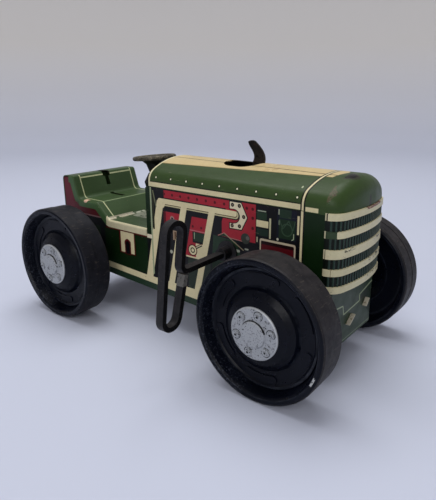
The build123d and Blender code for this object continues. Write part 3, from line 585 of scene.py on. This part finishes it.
def nose_material():
    """The pressed nose: green crown, cream bars over ribs with painted shade between them, and its damage.
    """
    p = Paint("printed_nose", GREEN)
    proud = nose_proud(p)
    # ribbed field between the bars: painted shade in the grooves and painted light on the ribs, paler
    # still on the left half
    field = p.both(p.below(p.z, GRILLE_TOP_Z), p.above(p.x, 82.8))
    ribs = p.both(field, p.above(proud, 0.15))
    p.lay(field, ink(8, 16, 10))
    p.lay(ribs, ink(44, 62, 54))
    p.lay(p.both(ribs, p.above(p.y, 2)), ink(64, 74, 64))
    bands = [p.near(p.z, top - height - 0.12, top + 0.12) for top, height in NOSE_BARS]
    bars = p.both(p.either(*bands), p.above(p.x, 85.2))
    p.lay(bars, ink(206, 198, 162))
    bar_damage(p, bands, bars)
    specks = p.noise(1.1, 5, 0.75, 14)
    shoulder_rust(p, specks)
    torn_dent(p, specks)
    outside = p.both(field, p.above(proud, -0.2))
    return tin_finish(p, seed=20, outside=outside)


def apron_material():
    """The plate below the nose: a stepped pale line with a dark field under its left end."""
    p = Paint("printed_apron", ink(38, 55, 36))
    p.draw_on(p.y, p.z)
    shadow = [(8.4, 34.1), (9.0, 31.0), (12.4, 28.0), (17.8, 22.5), (23.6, 18.7)]
    shadow += [(24.5, 36.5), (16.4, 35.9)]
    p.lay(p.polygon(*shadow), ink(14, 32, 12))
    step = [(-24, 36), (-19.3, 35.4), (-10.2, 34.3), (-9.0, 29.7)]
    step += [(8.4, 30.8), (7.8, 34.1), (16.4, 35.8), (24, 37.4)]
    p.lay(p.path(step, 0.7), ink(142, 154, 120))
    p.lay(p.rect(-24, 23, 16.2, 16.8), ink(96, 110, 82))
    p.lay(p.rect(22.6, 23.1, 16, 38), ink(84, 100, 72))
    forward = p.above(p.split_vector(p.coordinates.outputs["Normal"])[0], 0.05)
    return tin_finish(p, seed=40, outside=forward)


def seat_material():
    """The seat and footboard: green with a pale border, rubbed bare at the edges, and painted light on the
    side flanges.
    """
    p = Paint("printed_seat", ink(56, 76, 44))
    side = p.number("ABSOLUTE", p.y)
    # painted light: the flanges over the body's sides are painted a lighter green
    p.lay(p.above(side, BODY_HALF + 0.3), ink(66, 94, 56))
    # pale border down the seat back, round the pan and down the riser
    border = 20.4
    within = p.below(side, border)
    p.lay(p.both(p.near(side, border - 0.7, border), p.near(p.x, -84.4, -52.5)), PALE_LINE)
    p.lay(p.both(within, p.near(p.z, 75.9, 76.7), p.below(p.x, -80)), PALE_LINE)
    p.lay(p.both(within, p.near(p.x, -62.9, -62.3), p.above(p.z, 62)), ink(120, 136, 96))
    # bare, pinkish metal where feet and fingers rubbed
    rub = p.noise(4, 4, 0.6, 3)
    bare = ink(196, 188, 164)
    right_foot = p.both(p.near(p.x, -53.8, -51.0), p.near(p.y, -24, -5))
    left_foot = p.both(p.near(p.x, -53.4, -51.0), p.near(p.y, -5, 16))
    p.strip(p.both(right_foot, p.above(rub, 0.42)), bare, 0.85)
    p.strip(p.both(left_foot, p.above(rub, 0.56)), bare, 0.5)
    p.lay(p.both(p.above(side, BODY_HALF - 0.5), p.above(p.x, -54.7)), ink(200, 192, 158))
    patch = p.both(p.near(p.x, -55, -38), p.near(p.y, -9, 4), p.below(p.z, 56))
    p.strip(p.both(patch, p.above(p.noise(5, 4, 0.65, 8), 0.46)), ink(184, 186, 166), 0.9)
    p.draw_on(p.x, p.z)
    spot = p.both(p.disc(-73.2, 64.6, 1.9), p.below(p.y, -22))
    p.lay(p.both(spot, p.above(rub, 0.36)), ink(206, 172, 146))
    return tin_finish(p, seed=60)


def bracket_material():
    """Bare tin, browned a little."""
    p = Paint("bare_tin", ink(198, 190, 170))
    p.lay(p.above(p.noise(1.4, 4, 0.7, 2), 0.56), ink(140, 128, 104))
    p.raise_by(p.noise(1.0, 3, 0.6, 5), 0.05)
    return p.finish(p.vary(p.noise(2, 3, 0.6, 6), 0.35, 0.55), metallic=0.2)


def plain_tin(name, colour, seed):
    """Tin printed in one colour, aged like the rest."""
    return tin_finish(Paint(name, colour), seed=seed)


# ------------------------------------------------------------------ wheels and hardware
def around_axle(p):
    """Draw on the wheels' side view, measured from the nearer axle; returns the radius."""
    along = p.number("SUBTRACT", p.x, p.number("MULTIPLY", p.number("SIGN", p.x), AXLE_X))
    p.draw_on(along, p.number("SUBTRACT", p.z, AXLE_Z))
    return p.vector("LENGTH", p.uv)


def moulding_material():
    """The wheels: glossy blue-black faces and a dull, dusty tread."""
    p = Paint("black_moulding", ink(5, 8, 19))
    side = p.number("ABSOLUTE", p.y)
    radius = around_axle(p)
    tread = p.both(p.above(radius, WHEEL_R - 0.7), p.below(side, 52.6))
    front = p.above(p.x, 0)
    p.lay(tread, ink(19, 20, 26))
    p.lay(p.both(tread, front), ink(29, 28, 31))
    # dust on the tread and in the mould's parting line; dust and a painted highlight on the raised rings
    # of the face
    dust = p.ramp(p.noise(5, 5, 0.7, 5), 0.38, 0.8)
    p.lay(p.both(dust, tread), ink(66, 66, 74), 0.22)
    p.lay(p.both(dust, tread, front), ink(84, 76, 70), 0.28)
    # painted highlight: the raised rings of the face are painted paler, broken up by the dust
    rings = p.either(p.near(radius, 25.7, 26.7), p.near(radius, 29.2, 29.6), p.near(radius, 18.4, 19.0))
    p.lay(p.both(rings, dust), ink(60, 64, 72), 0.8)
    p.lay(p.both(p.near(side, 45.1, 45.6), tread), ink(14, 13, 14), 0.5)
    scuff = p.noise(0.8, 3, 0.6, 11, stretch=(1, 0.15, 1))
    p.lay(p.both(tread, p.above(scuff, 0.62)), ink(96, 86, 78), 0.3)
    speckle = p.both(p.near(radius, 27, 31), p.below(p.u, -6), p.above(p.noise(0.9, 3, 0.7, 12), 0.57))
    p.lay(speckle, ink(84, 88, 100), 0.35)
    chip = p.both(p.disc(27.5, -11.9, 2.2), p.near(radius, 29.6, 30.5), front, p.below(p.y, -50))
    p.lay(p.both(chip, p.above(p.noise(1.2, 3, 0.6, 4), 0.42)), ink(176, 178, 178))
    p.shade(p.vary(p.noise(18, 3, 0.5, 6), 0.8, 1.15))
    p.raise_by(p.noise(1.1, 3, 0.6, 7), 0.04)
    p.raise_by(p.noise(9, 3, 0.6, 8), 0.10)
    roughness = p.vary(p.noise(3, 3, 0.6, 9), 0.24, 0.42)
    return p.finish(p.number("ADD", roughness, p.number("MULTIPLY", tread, 0.2)), specular=0.14)


def from_nearest_nut(p, radius, turn):
    """The distance to the middle of the nearest of the cap's six nuts."""
    past_first = p.number("SUBTRACT", turn, FIRST_NUT)
    folded = p.number("WRAP", past_first, NUT_STEP / 2, -NUT_STEP / 2)
    outward = p.number("SUBTRACT", p.number("MULTIPLY", radius, p.number("COSINE", folded)), NUT_CIRCLE_R)
    aside = p.number("MULTIPLY", radius, p.number("SINE", folded))
    square = p.number("MULTIPLY_ADD", aside, aside, p.number("MULTIPLY", outward, outward))
    return p.number("SQRT", square)


def silver_material():
    """The wheel caps: dull silver with grime round the nuts and the middle."""
    p = Paint("silvered_tin", ink(164, 167, 170))
    radius = around_axle(p)
    across, up, _ = p.split_vector(p.uv)
    turn = p.number("ARCTAN2", up, across)
    nut = from_nearest_nut(p, radius, turn)
    blotch = p.noise(2.6, 3, 0.6, 21)
    grime = ink(22, 22, 24)
    p.lay(p.above(p.noise(0.8, 3, 0.7, 3), 0.58), ink(118, 118, 122))
    p.lay(p.both(p.near(nut, 1.9, 2.2), p.above(blotch, 0.44)), grime)
    p.lay(p.both(p.below(nut, 0.55), p.above(p.noise(1.1, 2, 0.5, 9), 0.46)), grime)
    worn_part = p.either(p.above(blotch, 0.55), p.near(turn, 0.3, 2.6))
    p.lay(p.both(p.near(radius, 5.8, 6.15), worn_part), grime)
    p.lay(p.both(p.above(p.noise(2.2, 4, 0.75, 4), 0.60), p.above(p.noise(0.6, 2, 0.6, 5), 0.46)), grime)
    p.lay(p.above(radius, 11.1), ink(178, 181, 183))
    p.raise_by(p.noise(0.6, 3, 0.6, 6), 0.06)
    return p.finish(p.vary(p.noise(1.4, 3, 0.6, 7), 0.35, 0.55), metallic=0.35)


def steel_material(name, colour, roughness):
    """Clean metal of the clockwork, with a fine grain."""
    p = Paint(name, colour)
    p.shade(p.vary(p.noise(4, 4, 0.6, 2), 0.75, 1.2))
    grain = p.noise(0.4, 2, 0.5, 4, stretch=(1, 0.1, 1))
    p.raise_by(grain, 0.02)
    varied = p.vary(p.noise(2, 3, 0.6, 5), roughness - 0.1, roughness + 0.12)
    return p.finish(varied, metallic=0.9)


def key_material():
    """The key's browned steel, with painted shade near black on the faces that look forward and a painted
    highlight on the strip's free end.
    """
    p = Paint("dark_key_steel", ink(40, 39, 41))
    p.shade(p.vary(p.noise(3, 4, 0.6, 2), 0.65, 1.35))
    # painted shade: faces turned forward are painted near black
    forward_face_shade = p.above(p.split_vector(p.coordinates.outputs["Normal"])[0], 0.6)
    p.lay(forward_face_shade, ink(9, 9, 11), 0.9)
    # painted highlight: pale patches on the strip's free end
    free_end = p.both(p.near(p.z, 46, 51.6), p.near(p.y, -58.6, -54.5))
    p.lay(p.both(free_end, p.above(p.noise(1.5, 4, 0.7, 3), 0.42)), ink(126, 124, 118), 0.7)
    p.lay(p.above(p.noise(0.8, 3, 0.7, 9), 0.62), ink(92, 84, 78), 0.3)
    p.raise_by(p.noise(0.9, 3, 0.6, 5), 0.05)
    return p.finish(p.vary(p.noise(2, 3, 0.6, 5), 0.45, 0.65), metallic=0.3)


def steering_material():
    """The steering wheel and its post: dark lacquer, its rim rubbed grey."""
    p = Paint("worn_wheel_tin", ink(23, 23, 19))
    rim = p.above(p.z, 89.0)
    wear = p.noise(2.5, 4, 0.7, 3)
    p.lay(p.both(rim, p.above(wear, 0.38)), ink(68, 63, 53))
    p.lay(p.both(rim, p.above(wear, 0.55)), ink(112, 105, 88))
    p.raise_by(p.noise(0.9, 3, 0.6, 5), 0.05)
    return p.finish(p.vary(p.noise(2, 3, 0.6, 5), 0.4, 0.6), metallic=0.2)


def lever_material():
    """The lever: dark browned steel, paler towards its root."""
    p = Paint("lever_steel", ink(13, 10, 9))
    p.shade(p.vary(p.noise(4, 4, 0.6, 2), 0.7, 1.3))
    p.lay(p.above(p.noise(3, 4, 0.7, 8), 0.56), ink(62, 42, 30), 0.4)
    root = p.both(p.ramp(p.z, 101, 93), p.above(p.noise(1.6, 3, 0.6, 4), 0.42))
    p.lay(root, ink(72, 62, 52), 0.5)
    p.raise_by(p.noise(0.9, 3, 0.6, 5), 0.04)
    return p.finish(p.vary(p.noise(2, 3, 0.6, 5), 0.4, 0.6), metallic=0.3)


def dress_everything():
    """Give every node of the CAD model its look."""
    dress(["hood_and_sides"], hood_material())
    dress(["nose_grille"], nose_material())
    dress(["front_apron"], apron_material())
    dress(["seat_and_footboard"], seat_material())
    dress(["tail_plate"], plain_tin("printed_tail", DARK_RED, 80))
    dress(["dash_plate"], plain_tin("printed_dash", DARK_GREEN, 90))
    dress(["steering_wheel", "steering_pedestal"], steering_material())
    moulding = moulding_material()
    silver = silver_material()
    for end in ("front", "rear"):
        for hand in ("right", "left"):
            dress([f"{end}_{hand}_wheel"], moulding)
            dress([f"{end}_{hand}_hub_cap"], silver)
    dress(["apron_bracket"], bracket_material())
    dress(["winding_key", "key_bush", "winding_arbor"], key_material())
    dress(["start_stop_lever"], lever_material())
    bright = steel_material("bright_steel", ink(150, 150, 152), 0.35)
    dress([
        "front_axle", "rear_axle", "click_pin", "motor_pillars", "idler_arbor",
        "second_arbor", "star_arbor", "anchor_pin", "lever_pin", "star_wheel", "rocking_anchor",
        "ratchet_wheel", "click", "right_motor_plate", "left_motor_plate",
    ], bright)
    dress(["mainspring"], steel_material("spring_steel", ink(66, 74, 96), 0.3))
    dress(["great_wheel", "idler_gear", "axle_gear", "second_wheel"],
          steel_material("cut_brass", ink(188, 150, 80), 0.35))


# ------------------------------------------------------------------ stage, lights and camera
FLOOR_R = 0.9
SWEEP_R = 0.4
WALL_TOP = 1.6
FLOOR_SIDES = 64
LIT_POINT = Vector((0, 0, 0.05))
CAMERA_AT = (0.1756, -0.2050, 0.1272)
CAMERA_DOWN = 16.40        # degrees below level
CAMERA_TURN = 37.48        # degrees round from looking along +Y, towards -X


def stage():
    """A pale floor that sweeps up into a wall all round."""
    profile = [(FLOOR_R, 0.0)]
    for angle in (0.4, 0.8, 1.2, math.pi / 2):
        profile.append((FLOOR_R + SWEEP_R * math.sin(angle), SWEEP_R - SWEEP_R * math.cos(angle)))
    profile.append((FLOOR_R + SWEEP_R, WALL_TOP))
    bm = bmesh.new()
    rings = []
    for i in range(FLOOR_SIDES):
        turn = 2 * math.pi * i / FLOOR_SIDES
        rings.append([bm.verts.new((r * math.cos(turn), r * math.sin(turn), h)) for r, h in profile])
    centre = bm.verts.new((0, 0, 0))
    for a, b in zip(rings, rings[1:] + rings[:1]):
        bm.faces.new((centre, a[0], b[0]))
        for k in range(len(a) - 1):
            bm.faces.new((a[k], a[k + 1], b[k + 1], b[k]))
    bmesh.ops.recalc_face_normals(bm, faces=bm.faces)
    mesh = bpy.data.meshes.new("floor")
    bm.to_mesh(mesh)
    bm.free()
    for face in mesh.polygons:
        face.use_smooth = True
    floor = bpy.data.objects.new("floor", mesh)
    bpy.context.scene.collection.objects.link(floor)
    p = Paint("pale_floor", ink(200, 205, 222))
    p.lay(p.ramp(p.z, 0, 250), ink(218, 215, 212))
    mesh.materials.append(p.finish(0.75, specular=0.1))


def area_light(name, place, size, power):
    """A soft square lamp aimed at the tractor."""
    light = bpy.data.lights.new(name, "AREA")
    light.shape = "SQUARE"
    light.size = size
    light.energy = power
    lamp = bpy.data.objects.new(name, light)
    lamp.location = place
    lamp.rotation_euler = (LIT_POINT - Vector(place)).to_track_quat("-Z", "Y").to_euler()
    bpy.context.scene.collection.objects.link(lamp)


def lights():
    """An even pale surround, a large lamp overhead and a weaker one from the camera's side."""
    world = bpy.data.worlds.new("studio")
    world.use_nodes = True
    surround = world.node_tree.nodes["Background"]
    surround.inputs["Color"].default_value = ink(222, 222, 228)
    surround.inputs["Strength"].default_value = 0.4
    bpy.context.scene.world = world
    area_light("overhead", (-0.15, 0.1, 1.1), 0.9, 9.0)
    area_light("front", (0.4, -0.9, 0.6), 0.6, 3.2)


def camera():
    """The photograph's viewpoint, in front of the tractor and to its right."""
    data = bpy.data.cameras.new("camera")
    data.lens = 35.96
    data.sensor_width = 36.0
    data.shift_x = -0.0266
    data.shift_y = -0.0238
    data.clip_start = 0.01
    data.clip_end = 20.0
    cam = bpy.data.objects.new("camera", data)
    cam.location = CAMERA_AT
    cam.rotation_euler = (math.radians(90 - CAMERA_DOWN), 0.0, math.radians(CAMERA_TURN))
    bpy.context.scene.collection.objects.link(cam)
    bpy.context.scene.camera = cam


dress_everything()
stage()
lights()
camera()
bpy.context.scene.view_settings.view_transform = "Standard"
